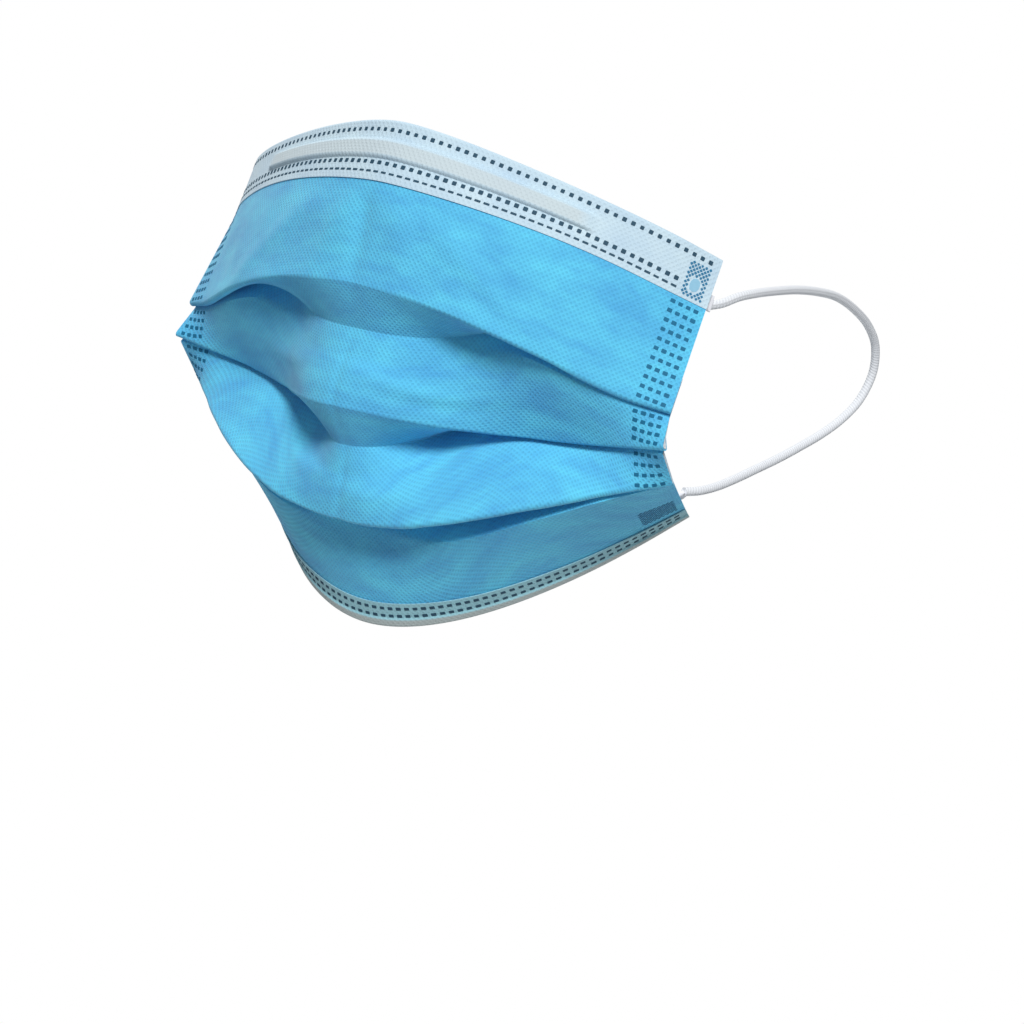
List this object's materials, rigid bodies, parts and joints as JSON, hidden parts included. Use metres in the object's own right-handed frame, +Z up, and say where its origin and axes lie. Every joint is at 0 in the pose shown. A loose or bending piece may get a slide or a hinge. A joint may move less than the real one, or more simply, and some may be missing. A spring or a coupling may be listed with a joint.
{
  "type": "surgical face mask",
  "caption": "Pleated surgical face mask opened to its worn form, with a white top hem over a nose wire, a bound bottom edge and elastic ear loops.",
  "frame": {"origin": "middle of the top edge, where the mask sits on the bridge of the nose", "axes": "+X towards the wearer's left, -Y the way the wearer faces, +Z up; the mask is mirrored about X = 0"},
  "size_m": [0.1584, 0.1288, 0.1253],
  "materials": {
    "blue_nonwoven": "point-bonded spunbond non-woven, matte",
    "white_nonwoven": "white point-bonded non-woven, matte",
    "edge_nonwoven": "thin pale grey non-woven, matte",
    "wire_plastic": "plastic-coated flat wire",
    "elastic_knit": "round knitted elastic, matte"
  },
  "bodies": {
    "root": {"pleated_body": "blue_nonwoven", "top_hem": "white_nonwoven", "nose_wire": "wire_plastic", "bottom_hem": "edge_nonwoven", "loop_tab_top_left": "elastic_knit", "loop_tab_top_right": "elastic_knit", "loop_tab_bottom_left": "elastic_knit", "loop_tab_bottom_right": "elastic_knit", "ear_loop_left": "elastic_knit", "ear_loop_right": "elastic_knit"}
  },
  "joints": []
}
